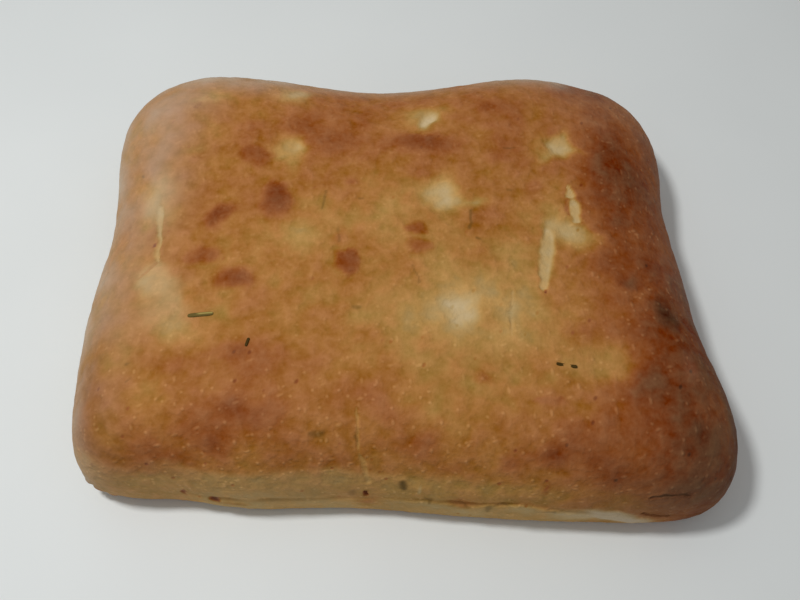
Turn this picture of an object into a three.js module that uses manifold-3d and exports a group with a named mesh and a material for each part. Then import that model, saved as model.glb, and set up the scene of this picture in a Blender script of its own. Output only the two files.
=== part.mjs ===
// A flat, pillow-like loaf of barley bread, uncut. It is one solid, with the dents, blisters, tears and
// creases of its crust, and with the rosemary needles that lie on the crust joined to it.
// Millimetres, +Z up. The loaf rests on z = 0, and the middle of its bounding box is on the Z axis.
// Directions are degrees in plan, anticlockwise from +X. The front faces -Y and the right side +X.
import * as THREE from "three";
import { ParametricGeometry } from "three/addons/geometries/ParametricGeometry.js";
import { mergeVertices } from "three/addons/utils/BufferGeometryUtils.js";
import Module from "manifold-3d";

// Plan: a rounded rectangle drawn round a pole, with lobes that push its edge out or in.
const HALF_WIDTH = 98.4;
const HALF_DEPTH = 83;
const SQUARENESS = 10; // exponent of the superellipse: 2 makes an ellipse, more is squarer
const POLE = { x: -3.9, y: 1.1 }; // off the middle, because the front right corner reaches out
const LOBES = [
  { direction: 11, spread: 11, grow: -3 }, // waist of the right side
  { direction: 41, spread: 10, grow: -9 }, // back right corner, broadly rounded
  { direction: 89, spread: 39, grow: -8 }, // waist of the back
  { direction: 140, spread: 7, grow: -5 }, // back left corner
  { direction: 173, spread: 13, grow: -3.5 }, // waist of the left side
  { direction: 227, spread: 10, grow: -6.3 }, // front left corner
  { direction: 255, spread: 39, grow: -6 }, // waist of the front
  { direction: 329.5, spread: 11.5, grow: 8.7 }, // front right corner, which reaches out
];

// Section: the crust curves down from a flat top over a shoulder to the widest line of the side, the
// bulge, and below that the side tucks in to the foot. The front is the steepest side, and its bulge is
// low: it is the lip of the bottom crust, with a crease above it.
const HEIGHT = 38;
const SHOULDER_ROUNDNESS = 2.3; // 2 makes an elliptical shoulder, more a fuller one
const SIDES = {
  right: { shoulder: 40, bulge: 13, tuck: 5 },
  back: { shoulder: 36, bulge: 13, tuck: 5 },
  left: { shoulder: 38, bulge: 12, tuck: 4 },
  front: { shoulder: 24, bulge: 4.5, tuck: 1 },
};

// Swellings and, where rise is below zero, dents of the top.
const SWELLINGS = [
  { x: -4, y: 1, radius: 62, rise: 3 }, // crown
  { x: -66, y: 51, radius: 30, rise: 2.5 }, // hump of the back left corner
  { x: 42, y: 57, radius: 30, rise: 2.5 }, // hump of the back right corner
  { x: -10, y: 63, radius: 24, rise: -1.5 }, // dip between the humps
  { x: 13, y: 15, radius: 5, rise: -1.2 }, // pale dents
  { x: 17, y: -26, radius: 6, rise: -0.9 },
  { x: 9, y: 48, radius: 5, rise: -1.2 },
  { x: -37, y: 35, radius: 5, rise: -1.1 },
  { x: 52, y: 36, radius: 5, rise: -1.1 },
  { x: 61, y: -43, radius: 7, rise: -0.9 },
  { x: 52, y: 5, radius: 5, rise: -1 },
  { x: -41, y: 15, radius: 5, rise: 0.8 }, // browned blisters
  { x: -57, y: 8, radius: 5, rise: 0.6 },
  { x: -51, y: -15, radius: 4.5, rise: 0.7 },
  { x: -17, y: -9, radius: 4.5, rise: 0.7 },
  { x: 4, y: -2, radius: 4.5, rise: 0.6 },
  { x: 4, y: 39, radius: 5, rise: 0.8 },
  { x: 72, y: 29, radius: 9, rise: 1 },
  { x: 81, y: -26, radius: 6, rise: 0.8 },
];

// Crease along the front, above the lip. It rises to the right, and ends at both corners.
const CREASE = { aboveBulge: 5, climb: 0.025, width: 1.1, depth: 1.2, direction: 268, reach: 46, end: 8 };

// Tears and pits of the crust, each the hollow that an ellipsoid leaves. A heading is its long way.
const TEARS = [
  { x: 55, y: 13, length: 17, width: 3, depth: 1.3, heading: 97 }, // right of the middle
  { x: 44, y: -11, length: 18, width: 3, depth: 1.3, heading: 85 },
  { x: 34, y: -28, length: 12, width: 1.2, depth: 0.8, heading: 88 },
  { x: -76, y: 3, length: 19, width: 1.8, depth: 1, heading: 92 }, // on the left shoulder
  { x: -11.5, y: -61, length: 10, width: 1.2, depth: 0.9, heading: 92 }, // over the front edge
  { x: -11.2, y: -70, length: 9, width: 1.2, depth: 0.9, heading: 92 },
  { x: -10, y: -76, length: 3, width: 3, depth: 1.5, heading: 0 }, // pits of the front
  { x: 0, y: -75, length: 3, width: 3, depth: 1.5, heading: 0 },
];
const TEAR_SIDES = 10;
const TEAR_RINGS = 6;

// Rosemary needles: flat, blunt and half sunk in the crust.
const NEEDLES = [
  { x: -59.5, y: -28, length: 8, heading: 5 },
  { x: 48.5, y: -44.5, length: 6, heading: -9 },
  { x: -45, y: -37.5, length: 3, heading: 68 },
];
const NEEDLE_WIDTH = 1.3;
const NEEDLE_THICKNESS = 0.9;
const NEEDLE_SIDES = 6;
const NEEDLE_END_STEPS = 2;

// Rows of the surface from the middle of the base up to the middle of the top, and columns round it.
const BASE_ROWS = 1;
const SIDE_ROWS = 5;
const LIP_ROWS = 4;
const SHOULDER_ROWS = 13;
const TOP_ROWS = 21;
const ROWS = BASE_ROWS + SIDE_ROWS + LIP_ROWS + SHOULDER_ROWS + TOP_ROWS;
const COLUMNS = 120;
const CORNERS = 4;
const CORNER_CROWDING = 4.5; // degrees by which the columns are drawn towards the corners

const CRUST = { color: 0xb5803f, roughness: 0.75, metalness: 0 };
const MERGE_DISTANCE = 1e-3;

const { clamp, degToRad, euclideanModulo, radToDeg } = THREE.MathUtils;

// How much of a bell curve is left at a distance from its middle.
function bell(distance, spread) {
  return Math.exp(-((distance / spread) ** 2));
}

// Degrees from one direction to another, the short way round.
function turnBetween(from, to) {
  return euclideanModulo(to - from + 180, 360) - 180;
}

// Distance from the pole to the widest line of the side.
function outline(direction) {
  const angle = degToRad(direction);
  const across = Math.abs(Math.cos(angle)) / HALF_WIDTH;
  const along = Math.abs(Math.sin(angle)) / HALF_DEPTH;
  const rectangle = (across ** SQUARENESS + along ** SQUARENESS) ** (-1 / SQUARENESS);
  return LOBES.reduce(
    (reach, lobe) => reach + lobe.grow * bell(turnBetween(lobe.direction, direction), lobe.spread),
    rectangle,
  );
}

// One size of the section, blended from the four sides round the corners.
function sideSize(direction, size) {
  const angle = degToRad(direction);
  const [x, y] = [Math.cos(angle), Math.sin(angle)];
  const sideways = (x > 0 ? SIDES.right : SIDES.left)[size];
  const endways = (y > 0 ? SIDES.back : SIDES.front)[size];
  return x * x * sideways + y * y * endways;
}

// Swellings and dents at a point. They fade out down the sides, so that the foot keeps its outline.
function swelling(x, y, height) {
  const fade = clamp(height / HEIGHT, 0, 1);
  return SWELLINGS.reduce(
    (sum, bump) => sum + fade * bump.rise * bell(Math.hypot(x - bump.x, y - bump.y), bump.radius),
    0,
  );
}

// Height of the crease's line above the bulge. The lip rows reach up to it on every side.
function creaseRise(direction) {
  return CREASE.aboveBulge + CREASE.climb * outline(direction) * Math.cos(degToRad(direction));
}

// How far the crease goes in at a height above the bulge.
function creaseDepth(direction, rise) {
  const along = Math.exp(-((turnBetween(CREASE.direction, direction) / CREASE.reach) ** CREASE.end));
  return CREASE.depth * along * bell(rise - creaseRise(direction), CREASE.width);
}

// A point of the side below the bulge. A share of 0 is at the foot and 1 at the bulge.
function sidePoint(direction, share) {
  const bulge = sideSize(direction, "bulge");
  const tuck = sideSize(direction, "tuck") * (1 - share) ** 2;
  const crease = creaseDepth(direction, (share - 1) * bulge);
  return { radius: outline(direction) - tuck - crease, height: share * bulge };
}

// A point of the shoulder. A rise of 0 is at the bulge and 1 at the flat top.
function shoulderPoint(direction, rise) {
  const bulge = sideSize(direction, "bulge");
  const toTop = (1 - rise ** SHOULDER_ROUNDNESS) ** (1 / SHOULDER_ROUNDNESS);
  const inset = sideSize(direction, "shoulder") * (1 - toTop);
  const crease = creaseDepth(direction, rise * (HEIGHT - bulge));
  return { radius: outline(direction) - inset - crease, height: bulge + rise * (HEIGHT - bulge) };
}

// A point of the bare section, counted in rows from the middle of the base to the middle of the top.
function sectionPoint(direction, row) {
  if (row <= BASE_ROWS) return { radius: (sidePoint(direction, 0).radius * row) / BASE_ROWS, height: 0 };
  const sideRow = row - BASE_ROWS;
  if (sideRow <= SIDE_ROWS) return sidePoint(direction, sideRow / SIDE_ROWS);
  const crease = creaseRise(direction) / (HEIGHT - sideSize(direction, "bulge"));
  const lipRow = sideRow - SIDE_ROWS;
  if (lipRow <= LIP_ROWS) return shoulderPoint(direction, (crease * lipRow) / LIP_ROWS);
  const shoulderRow = lipRow - LIP_ROWS;
  if (shoulderRow <= SHOULDER_ROWS) {
    const turn = (Math.PI / 2) * (shoulderRow / SHOULDER_ROWS);
    return shoulderPoint(direction, crease + (1 - crease) * Math.sin(turn));
  }
  const { radius, height } = shoulderPoint(direction, 1);
  return { radius: radius * (1 - (shoulderRow - SHOULDER_ROWS) / TOP_ROWS), height };
}

// A point of the loaf's surface, from shares of the way round it and up its section.
function loafPoint(aroundShare, upShare, target) {
  const direction = 360 * aroundShare + CORNER_CROWDING * Math.sin(2 * Math.PI * CORNERS * aroundShare);
  const { radius, height } = sectionPoint(direction, Math.round(upShare * ROWS));
  const x = POLE.x + radius * Math.cos(degToRad(direction));
  const y = POLE.y + radius * Math.sin(degToRad(direction));
  target.set(x, y, height + swelling(x, y, height));
}

// Height of the crust over a point of the plan, from the bulge inwards.
function crustHeight(x, y) {
  const direction = radToDeg(Math.atan2(y - POLE.y, x - POLE.x));
  const inset = outline(direction) - Math.hypot(x - POLE.x, y - POLE.y);
  const toTop = 1 - clamp(inset / sideSize(direction, "shoulder"), 0, 1);
  const rise = (1 - toTop ** SHOULDER_ROUNDNESS) ** (1 / SHOULDER_ROUNDNESS);
  const bulge = sideSize(direction, "bulge");
  const height = bulge + (HEIGHT - bulge) * rise;
  return height + swelling(x, y, height);
}

// Lays a shape that was made along +X round the origin on the crust, tilted with its slope.
function layOnCrust(geometry, { x, y, length, heading }) {
  const angle = degToRad(heading);
  const [halfX, halfY] = [Math.cos(angle), Math.sin(angle)].map((part) => (part * length) / 2);
  const climb = crustHeight(x + halfX, y + halfY) - crustHeight(x - halfX, y - halfY);
  return geometry.rotateY(-Math.atan2(climb, length)).rotateZ(angle).translate(x, y, crustHeight(x, y));
}

// The ellipsoid that leaves the hollow of a tear.
function tearGeometry(tear) {
  const ellipsoid = new THREE.SphereGeometry(1, TEAR_SIDES, TEAR_RINGS)
    .rotateX(Math.PI / 2)
    .scale(tear.length / 2, tear.width / 2, tear.depth);
  return layOnCrust(ellipsoid, tear);
}

function needleGeometry(needle) {
  const straight = needle.length - NEEDLE_WIDTH;
  const capsule = new THREE.CapsuleGeometry(NEEDLE_WIDTH / 2, straight, NEEDLE_END_STEPS, NEEDLE_SIDES)
    .rotateZ(-Math.PI / 2)
    .scale(1, 1, NEEDLE_THICKNESS / NEEDLE_WIDTH);
  return layOnCrust(capsule, needle);
}

const wasm = await Module();
wasm.setup();

// A closed geometry as a solid that can be joined and cut.
function solidOf(geometry) {
  geometry.deleteAttribute("normal");
  geometry.deleteAttribute("uv");
  const merged = mergeVertices(geometry, MERGE_DISTANCE);
  const vertProperties = merged.attributes.position.array;
  const triVerts = new Uint32Array(merged.index.array);
  return new wasm.Manifold(new wasm.Mesh({ numProp: 3, vertProperties, triVerts }));
}

// A solid as a geometry, with its bounding box centred over the origin and resting on z = 0.
function geometryOf(solid) {
  const { vertProperties, triVerts } = solid.getMesh();
  const geometry = new THREE.BufferGeometry();
  geometry.setAttribute("position", new THREE.BufferAttribute(vertProperties, 3));
  geometry.setIndex(new THREE.BufferAttribute(triVerts, 1));
  geometry.computeBoundingBox();
  const middle = geometry.boundingBox.getCenter(new THREE.Vector3());
  geometry.translate(-middle.x, -middle.y, -geometry.boundingBox.min.z);
  geometry.computeVertexNormals();
  return geometry;
}

function buildLoaf() {
  let solid = solidOf(new ParametricGeometry(loafPoint, COLUMNS, ROWS));
  for (const tear of TEARS) solid = solid.subtract(solidOf(tearGeometry(tear)));
  for (const needle of NEEDLES) solid = solid.add(solidOf(needleGeometry(needle)));
  const mesh = new THREE.Mesh(geometryOf(solid), new THREE.MeshStandardMaterial(CRUST));
  mesh.name = "loaf";
  return mesh;
}

const bread = new THREE.Group();
bread.add(buildLoaf());

export default bread;
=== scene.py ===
"""Barley bread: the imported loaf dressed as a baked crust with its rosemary, in a plain studio.

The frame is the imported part's: +Z up, the front facing -Y and the loaf resting on z = 0. Sizes here are in
millimetres and Blender's meshes in metres. Directions in plan run anticlockwise from +X.
"""

import logging
import math
from dataclasses import dataclass
from enum import Enum

import bmesh
import bpy
import numpy as np
from mathutils import Matrix, Vector, noise


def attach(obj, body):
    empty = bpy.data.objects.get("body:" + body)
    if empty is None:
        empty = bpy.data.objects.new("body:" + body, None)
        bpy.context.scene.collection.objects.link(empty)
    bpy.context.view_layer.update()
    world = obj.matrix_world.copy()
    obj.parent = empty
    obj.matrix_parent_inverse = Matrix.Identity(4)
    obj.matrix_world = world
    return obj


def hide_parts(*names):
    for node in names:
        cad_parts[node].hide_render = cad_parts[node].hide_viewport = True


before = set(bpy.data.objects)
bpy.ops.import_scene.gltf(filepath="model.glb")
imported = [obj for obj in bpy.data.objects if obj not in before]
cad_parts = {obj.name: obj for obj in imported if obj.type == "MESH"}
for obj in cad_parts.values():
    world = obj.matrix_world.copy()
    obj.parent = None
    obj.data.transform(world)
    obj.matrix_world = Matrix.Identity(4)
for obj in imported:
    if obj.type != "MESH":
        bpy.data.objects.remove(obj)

MM = 0.001
SIDE_DEPTH = 30  # millimetres inwards over which a patch on a side fades
NOISE_SHARE = 0.6  # brings fractal noise to about half a unit either way
AXIS_SHIFT = 7.3  # from the noise of one axis to that of the next
NOISE_DETAIL = 2.0  # layers of a noise texture, past its first
NOISE_MIDDLE = 0.5  # about which a noise texture swings
TINY = 1e-6  # keeps a division from zero

# Sockets of a node that mixes colours, by number, because others there have the same names.
MIX_AMOUNT = 0
MIX_UNDER = 6
MIX_OVER = 7
MIX_RESULT = 2

log = logging.getLogger("barley_bread")


def bell(distance: np.ndarray, spread: float) -> np.ndarray:
    """How much of a bell curve is left at a distance from its middle."""
    return np.exp(-((distance / spread) ** 2))


def smooth_step(low: float, high: float, value: np.ndarray) -> np.ndarray:
    """A smooth climb from 0 at the low value to 1 at the high one."""
    share = np.clip((value - low) / (high - low), 0, 1)
    return share * share * (3 - 2 * share)


def crinkle(points: np.ndarray, size: float, octaves: int = 1, shift: float = 0.0) -> np.ndarray:
    """Smooth noise from about -0.5 to 0.5 at some points.

    Args:
        points: Places in millimetres, one a row.
        size: Width of the noise's largest lumps, in millimetres.
        octaves: Layers of noise, each half the size of the one before.
        shift: Moves the pattern, so that two of the same size differ.

    Returns:
        One value for each point.
    """
    places = points / size + shift
    return np.array([noise.fractal(Vector(place), 1.0, 2.0, octaves) for place in places]) * NOISE_SHARE


def wander(points: np.ndarray, size: float, amount: float, shift: float) -> np.ndarray:
    """Moves points about, so that what is drawn by them gets a ragged edge.

    Args:
        points: Places in millimetres, one a row.
        size: Width of the bends, in millimetres.
        amount: Millimetres from one side of a bend to the other.
        shift: Moves the pattern.

    Returns:
        The moved places.
    """
    moves = [crinkle(points, size, 1, shift + AXIS_SHIFT * axis) for axis in range(3)]
    return points + amount * np.column_stack(moves)


def linear(colour: str) -> tuple[float, float, float, float]:
    """Turns an sRGB hex colour to linear RGBA.

    Args:
        colour: Six hex digits.

    Returns:
        Red, green, blue and an alpha of 1.
    """
    parts = [int(colour[start : start + 2], 16) / 255 for start in (0, 2, 4)]
    red, green, blue = [
        part / 12.92 if part <= 0.04045 else ((part + 0.055) / 1.055) ** 2.4 for part in parts
    ]
    return red, green, blue, 1.0


def per_metre(size: float) -> float:
    """Scale of a pattern on Object coordinates whose features are this many millimetres wide."""
    return 1 / (size * MM)


def add_node(
    tree: bpy.types.NodeTree,
    kind: str,
    links: dict[str | int, object] | None = None,
    **settings: object,
) -> bpy.types.Node:
    """Adds a node with its settings and links.

    Args:
        tree: The material's node tree.
        kind: The node's type.
        links: What each input takes, by the input's name or number: another node's output, or a value.
        settings: The node's own properties.

    Returns:
        The new node.
    """
    node = tree.nodes.new(kind)
    for name, value in settings.items():
        setattr(node, name, value)
    for socket, value in (links or {}).items():
        if isinstance(value, bpy.types.NodeSocket):
            tree.links.new(value, node.inputs[socket])
        else:
            node.inputs[socket].default_value = value
    return node


def start_material(name: str) -> tuple[bpy.types.Material, bpy.types.NodeTree, bpy.types.Node]:
    """Starts a material.

    Args:
        name: What the real material is called.

    Returns:
        The material, its node tree and its shader.
    """
    material = bpy.data.materials.new(name)
    material.use_nodes = True
    tree = material.node_tree
    return material, tree, tree.nodes["Principled BSDF"]


def to_mesh(bm: bmesh.types.BMesh, name: str) -> bpy.types.Mesh:
    """Turns an edited mesh to one that a piece can have.

    Args:
        bm: The edited mesh, which is freed.
        name: Name of the new one.

    Returns:
        The new mesh.
    """
    mesh = bpy.data.meshes.new(name)
    bm.to_mesh(mesh)
    bm.free()
    return mesh


def add_piece(name: str, mesh: bpy.types.Mesh, material: bpy.types.Material) -> bpy.types.Object:
    """Puts a piece at the origin.

    Args:
        name: Name of the piece.
        mesh: Its mesh.
        material: The one material of all its faces.

    Returns:
        The piece.
    """
    mesh.materials.append(material)
    piece = bpy.data.objects.new(name, mesh)
    bpy.context.scene.collection.objects.link(piece)
    return piece


class Face(Enum):
    """Where a feature of the crust lies: on top, or on one side, given by its direction in degrees."""

    TOP = None
    RIGHT = 0
    BACK = 90
    LEFT = 180
    FRONT = 270


class Browning(Enum):
    """How far a spot of the crust has baked, from bare dough to scorched."""

    BARE = 0.0
    STRAW = 1 / 7
    GOLDEN = 2 / 7
    TAN = 3 / 7
    BROWN = 4 / 7
    RUSSET = 5 / 7
    DARK = 6 / 7
    SCORCHED = 1.0


class Edge(Enum):
    """How a patch ends, as the exponent of its fall from the middle."""

    SOFT = 2
    FIRM = 4
    SHARP = 8


# Short names for the lists of spots and tears below.
TOP, RIGHT, BACK, LEFT, FRONT = Face
BARE, STRAW, GOLDEN, TAN, BROWN, RUSSET, DARK, SCORCHED = Browning
SOFT, FIRM, SHARP = Edge


@dataclass(frozen=True)
class Fade:
    """A smooth climb from nothing at one value to all of something at another."""

    none: float
    full: float

    def at(self, value: np.ndarray) -> np.ndarray:
        """How much there is at a value, from 0 to 1."""
        return smooth_step(self.none, self.full, value)


@dataclass(frozen=True)
class Hump:
    """A rise and fall along one way, as a bell curve."""

    place: float
    spread: float
    size: float = 1.0

    def at(self, value: np.ndarray) -> np.ndarray:
        """How high it is at a value."""
        return self.size * bell(value - self.place, self.spread)


@dataclass(frozen=True)
class Lobe:
    """A push on the plan's edge, outwards where grow is above zero. Degrees and millimetres."""

    direction: float
    spread: float
    grow: float


@dataclass(frozen=True)
class SideSizes:
    """Section of one side: depth of the shoulder, height of the widest line, and tuck below that."""

    shoulder: float
    bulge: float
    tuck: float


@dataclass(frozen=True)
class Swelling:
    """A broad rise of the top, or a dip where rise is below zero."""

    x: float
    y: float
    radius: float
    rise: float


@dataclass(frozen=True)
class LoafForm:
    """The loaf's bare form, with the sizes that the part's source gives it."""

    half_width: float = 98.4
    half_depth: float = 83
    squareness: float = 10
    pole: tuple[float, float] = (-3.9, 1.1)
    height: float = 38
    roundness: float = 2.3
    foot_radius: float = 1.2
    flat_share: float = 0.55  # of the way from the middle of the top to the widest line
    lobes: tuple[Lobe, ...] = (
        Lobe(11, 11, -3),
        Lobe(41, 10, -9),
        Lobe(89, 39, -8),
        Lobe(140, 7, -5),
        Lobe(173, 13, -3.5),
        Lobe(227, 10, -6.3),
        Lobe(255, 39, -6),
        Lobe(329.5, 11.5, 8.7),
    )
    right: SideSizes = SideSizes(40, 13, 5)
    back: SideSizes = SideSizes(36, 13, 5)
    left: SideSizes = SideSizes(38, 12, 4)
    front: SideSizes = SideSizes(24, 4.5, 1)
    swellings: tuple[Swelling, ...] = (
        Swelling(-4, 1, 62, 3),
        Swelling(-66, 51, 30, 2.5),
        Swelling(42, 57, 30, 2.5),
        Swelling(-10, 63, 24, -1.5),
    )

    def outline(self, direction: np.ndarray) -> np.ndarray:
        """Distance from the pole to the widest line of the side.

        Args:
            direction: Directions in plan, in radians.

        Returns:
            Millimetres, one for each direction.
        """
        across = np.abs(np.cos(direction)) / self.half_width
        along = np.abs(np.sin(direction)) / self.half_depth
        reach = (across**self.squareness + along**self.squareness) ** (-1 / self.squareness)
        for lobe in self.lobes:
            turn = (np.degrees(direction) - lobe.direction + 180) % 360 - 180
            reach = reach + lobe.grow * bell(turn, lobe.spread)
        return reach

    def side_size(self, direction: np.ndarray, size: str) -> np.ndarray:
        """One size of the section, blended from the four sides round the corners.

        Args:
            direction: Directions in plan, in radians.
            size: Name of the size.

        Returns:
            Millimetres, one for each direction.
        """
        x, y = np.cos(direction), np.sin(direction)
        sideways = np.where(x > 0, getattr(self.right, size), getattr(self.left, size))
        endways = np.where(y > 0, getattr(self.back, size), getattr(self.front, size))
        return x * x * sideways + y * y * endways

    def swelling(self, x: np.ndarray, y: np.ndarray, height: np.ndarray) -> np.ndarray:
        """Rise of the swellings at some points. They fade out down the sides.

        Args:
            x: Places in plan.
            y: Places in plan.
            height: Heights of the bare section there.

        Returns:
            Millimetres, one for each point.
        """
        rise = sum(bump.rise * bell(np.hypot(x - bump.x, y - bump.y), bump.radius) for bump in self.swellings)
        return rise * np.clip(height / self.height, 0, 1)

    def top_section(self, direction: np.ndarray, reach: np.ndarray) -> tuple[np.ndarray, np.ndarray]:
        """Section from the middle of the top out to the widest line.

        Args:
            direction: Directions in plan, in radians.
            reach: Shares of the way out.

        Returns:
            Radius from the pole, and height.
        """
        bulge = self.side_size(direction, "bulge")
        turn = np.clip((1 - reach) / (1 - self.flat_share), 0, 1) * math.pi / 2
        inset = self.side_size(direction, "shoulder") * (1 - np.cos(turn) ** (2 / self.roundness))
        rise = (self.height - bulge) * np.sin(turn) ** (2 / self.roundness)
        flat = np.minimum(reach / self.flat_share, 1)
        return flat * (self.outline(direction) - inset), bulge + rise

    def side_section(self, direction: np.ndarray, height: np.ndarray) -> np.ndarray:
        """Section of the side from the foot up to the widest line.

        Args:
            direction: Directions in plan, in radians.
            height: Heights above the foot, in millimetres.

        Returns:
            Radius from the pole.
        """
        bulge = self.side_size(direction, "bulge")
        tuck = self.side_size(direction, "tuck") * np.clip(1 - height / bulge, 0, 1) ** 2
        below = np.clip(1 - height / self.foot_radius, 0, 1)
        foot = self.foot_radius * (1 - np.sqrt(1 - below**2))
        return self.outline(direction) - tuck - foot

    def wrap(self, cells: np.ndarray) -> np.ndarray:
        """Bends points of a flat box round the loaf.

        Args:
            cells: Points of a box that spans -1 to 1 in X and Y, and -1 to 0 in Z. Its top face becomes the
                crust down to the widest line, its walls the side below that, and its floor the base.

        Returns:
            Points of the bare loaf, in millimetres.
        """
        across, along, drop = cells.T
        reach = np.maximum(np.abs(across), np.abs(along))
        direction = np.arctan2(along * self.half_depth, across * self.half_width)
        top_radius, top_height = self.top_section(direction, reach)
        side_height = np.clip(1 + drop, 0, 1) * self.side_size(direction, "bulge")
        side_radius = reach * self.side_section(direction, side_height)
        on_top = drop >= 0
        radius = np.where(on_top, top_radius, side_radius)
        height = np.where(on_top, top_height, side_height)
        x = self.pole[0] + radius * np.cos(direction)
        y = self.pole[1] + radius * np.sin(direction)
        return np.column_stack((x, y, height + self.swelling(x, y, height)))

    def crust_height(self, x: np.ndarray, y: np.ndarray) -> np.ndarray:
        """Height of the crust over points of the plan.

        Args:
            x: Places in plan.
            y: Places in plan.

        Returns:
            Millimetres above the base, one for each point.
        """
        direction = np.arctan2(y - self.pole[1], x - self.pole[0])
        inset = self.outline(direction) - np.hypot(x - self.pole[0], y - self.pole[1])
        to_top = 1 - np.clip(inset / self.side_size(direction, "shoulder"), 0, 1)
        rise = (1 - to_top**self.roundness) ** (1 / self.roundness)
        bulge = self.side_size(direction, "bulge")
        height = bulge + (self.height - bulge) * rise
        return height + self.swelling(x, y, height)

    def side_radius(self, direction: float, height: float) -> float:
        """Distance from the pole to the side at a height, above or below the widest line.

        Args:
            direction: Direction in plan, in radians.
            height: Height above the base, in millimetres.

        Returns:
            Millimetres.
        """
        bulge = float(self.side_size(direction, "bulge"))
        if height <= bulge:
            return float(self.side_section(direction, height))
        rise = min((height - bulge) / (self.height - bulge), 1)
        inset = 1 - (1 - rise**self.roundness) ** (1 / self.roundness)
        return float(self.outline(direction) - self.side_size(direction, "shoulder") * inset)

    def place(self, face: Face, along: float, up: float) -> np.ndarray:
        """A point of the crust.

        Args:
            face: The top or a side.
            along: X on the top, the front and the back, and Y on the left and right sides.
            up: Y on the top, and the height on a side.

        Returns:
            The point, in millimetres.
        """
        if face is TOP:
            return np.array((along, up, float(self.crust_height(along, up))))
        direction = math.radians(face.value)
        steps = 8  # enough for the direction to settle
        for _ in range(steps):
            radius = self.side_radius(direction, up)
            if face in (FRONT, BACK):
                direction = math.atan2(radius * math.sin(direction), along - self.pole[0])
            else:
                direction = math.atan2(along - self.pole[1], radius * math.cos(direction))
        radius = self.side_radius(direction, up)
        x = self.pole[0] + radius * math.cos(direction)
        y = self.pole[1] + radius * math.sin(direction)
        return np.array((x, y, up))


@dataclass(frozen=True)
class Patch:
    """A spot or zone of the crust that baked more or less than what is round it.

    Attributes:
        along: First coordinate on its face, in millimetres.
        up: Second coordinate on its face.
        length: Size along its heading.
        width: Size across its heading.
        browning: What its middle baked to.
        strength: How much of that shows, from 0 to 1.
        heading: Degrees in plan, or the tilt on a side.
        edge: How it ends.
        rise: Millimetres that its middle stands up, or sinks if below zero.
        face: Where it lies.
        dust_and_sheen: How much grey it adds at its middle, or takes away if below zero: flour dust, and
            painted sheen on the edges.
        herb_and_shade: How much of an olive tinge it has at its middle, from 0 to 1; over the front corners,
            partly painted shade.
    """

    along: float
    up: float
    length: float
    width: float
    browning: Browning
    strength: float = 1.0
    heading: float = 0.0
    edge: Edge = SOFT
    rise: float = 0.0
    face: Face = TOP
    dust_and_sheen: float = 0.0
    herb_and_shade: float = 0.0

    def weight(self, form: LoafForm, points: np.ndarray) -> np.ndarray:
        """How much of the patch is at some points.

        Args:
            form: The loaf that it lies on.
            points: Places in millimetres, one a row.

        Returns:
            From 0 outside it to 1 at its middle.
        """
        x, y, z = (points - form.place(self.face, self.along, self.up)).T
        if self.face is TOP:
            along, up, out = x, y, z / min(self.length, self.width)
        else:
            side = math.radians(self.face.value)
            along, up = y * math.cos(side) - x * math.sin(side), z
            out = (x * math.cos(side) + y * math.sin(side)) / SIDE_DEPTH
        turn = math.radians(self.heading)
        ahead = (along * math.cos(turn) + up * math.sin(turn)) / self.length
        across = (up * math.cos(turn) - along * math.sin(turn)) / self.width
        ratio = 2 * np.sqrt(ahead**2 + across**2 + out**2)
        return np.exp(-(ratio**self.edge.value))


@dataclass(frozen=True)
class Line:
    """A line on the crust, such as a tear, through places that each have a half width.

    Attributes:
        places: Two coordinates on the face and a half width, for each place.
        face: Where it lies.
    """

    places: tuple[tuple[float, float, float], ...]
    face: Face = TOP

    def ratio(self, form: LoafForm, points: np.ndarray, margin: float = 0.0) -> np.ndarray:
        """Distance from the line as a share of its half width there.

        Args:
            form: The loaf that it lies on.
            points: Places in millimetres, one a row.
            margin: Millimetres added to the half width.

        Returns:
            0 on the line, 1 at its edge and more outside it.
        """
        nodes = [form.place(self.face, along, up) for along, up, _ in self.places]
        widths = [half + margin for _, _, half in self.places]
        best = np.full(len(points), np.inf)
        for start, end, first, last in zip(nodes, nodes[1:], widths, widths[1:]):
            way = end - start
            share = np.clip((points - start) @ way / (way @ way), 0, 1)
            gap = np.linalg.norm(points - start - share[:, None] * way, axis=1)
            best = np.minimum(best, gap / (first + share * (last - first)))
        return best


@dataclass(frozen=True)
class Tear:
    """A split of the crust that shows the dough under it, or a dark slit or pit, dark partly from browned
    crust and partly from painted shade.

    Attributes:
        line: Where it runs.
        depth: Millimetres that its floor lies below the crust.
        lip: Millimetres that its edges stand up.
        browning: What shows in it; in a dark slit or pit, partly painted shade.
        strength: How much of that shows, from 0 to 1.
    """

    line: Line
    depth: float
    lip: float
    browning: Browning
    strength: float = 1.0


@dataclass(frozen=True)
class HerbStreak:
    """An olive mark: a rosemary needle under the skin of the crust, or a small stain."""

    line: Line
    strength: float


# Where the parts of a tear or a mark are, in half widths from its line.
TEAR_FLOOR = Fade(1.5, 0.4)
TEAR_COLOUR = Fade(1.6, 0.6)
TEAR_LIP = Hump(1.6, 0.5)
STREAK_COLOUR = Fade(1.8, 0.4)
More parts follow.
